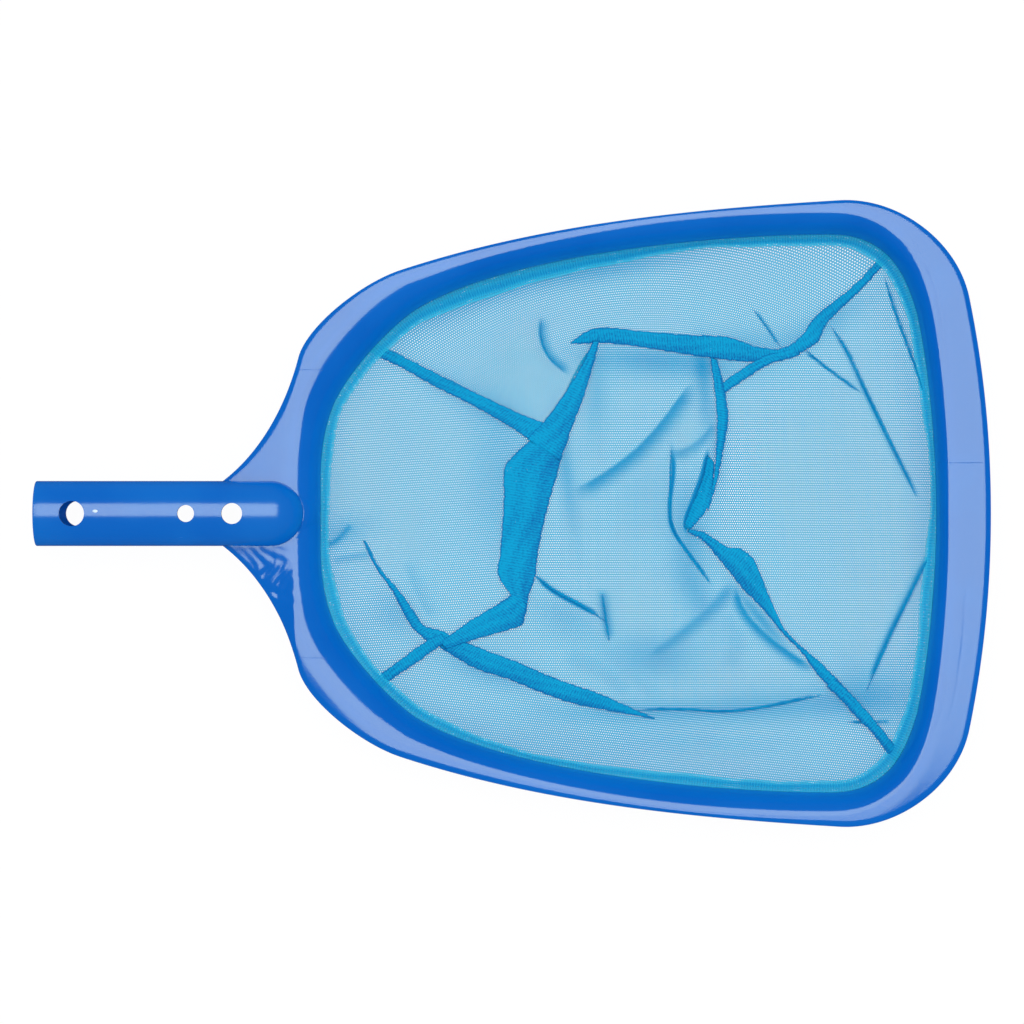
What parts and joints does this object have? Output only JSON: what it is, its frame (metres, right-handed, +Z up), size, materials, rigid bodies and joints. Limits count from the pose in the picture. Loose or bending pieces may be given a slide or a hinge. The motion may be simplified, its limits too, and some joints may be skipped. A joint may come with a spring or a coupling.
{
  "type": "leaf skimmer net",
  "caption": "Flat-topped pool leaf net: D-shaped moulded rim with a round pole socket, retaining ring and a sewn mesh bag gathered inside the rim.",
  "frame": {"origin": "middle of the footprint's bounding box, on the surface that the retaining ring lies on", "axes": "+X from the pole socket to the far edge of the rim, +Y to the left seen from the socket, +Z up out of the bag's mouth"},
  "size_m": [0.441, 0.2894, 0.035],
  "materials": {
    "rim_plastic": "glossy injection-moulded polypropylene, mid blue, with faint knit lines",
    "ring_plastic": "satin injection-moulded polypropylene, mid blue",
    "hem_tape": "doubled knitted mesh folded into a hem, teal blue",
    "hem_cord": "thin twisted polyester cord, teal blue",
    "bag_mesh": "fine knitted polyester mesh with a pitch of about 1 mm, pale blue, see-through",
    "seam_thread": "overlocked seam of folded mesh and blue thread"
  },
  "bodies": {
    "root": {"rim_frame": "rim_plastic", "retaining_ring": "ring_plastic", "hem_band": "hem_tape", "hem_cord": "hem_cord", "bag_left_wall": "bag_mesh", "bag_far_wall": "bag_mesh", "bag_right_wall": "bag_mesh", "bag_near_wall": "bag_mesh", "bag_floor": "bag_mesh", "corner_seam_near_left": "seam_thread", "corner_seam_far_left": "seam_thread", "corner_seam_far_right": "seam_thread", "corner_seam_near_right": "seam_thread", "floor_seam_left": "seam_thread", "floor_seam_far": "seam_thread", "floor_seam_right": "seam_thread", "floor_seam_near": "seam_thread"}
  },
  "joints": []
}
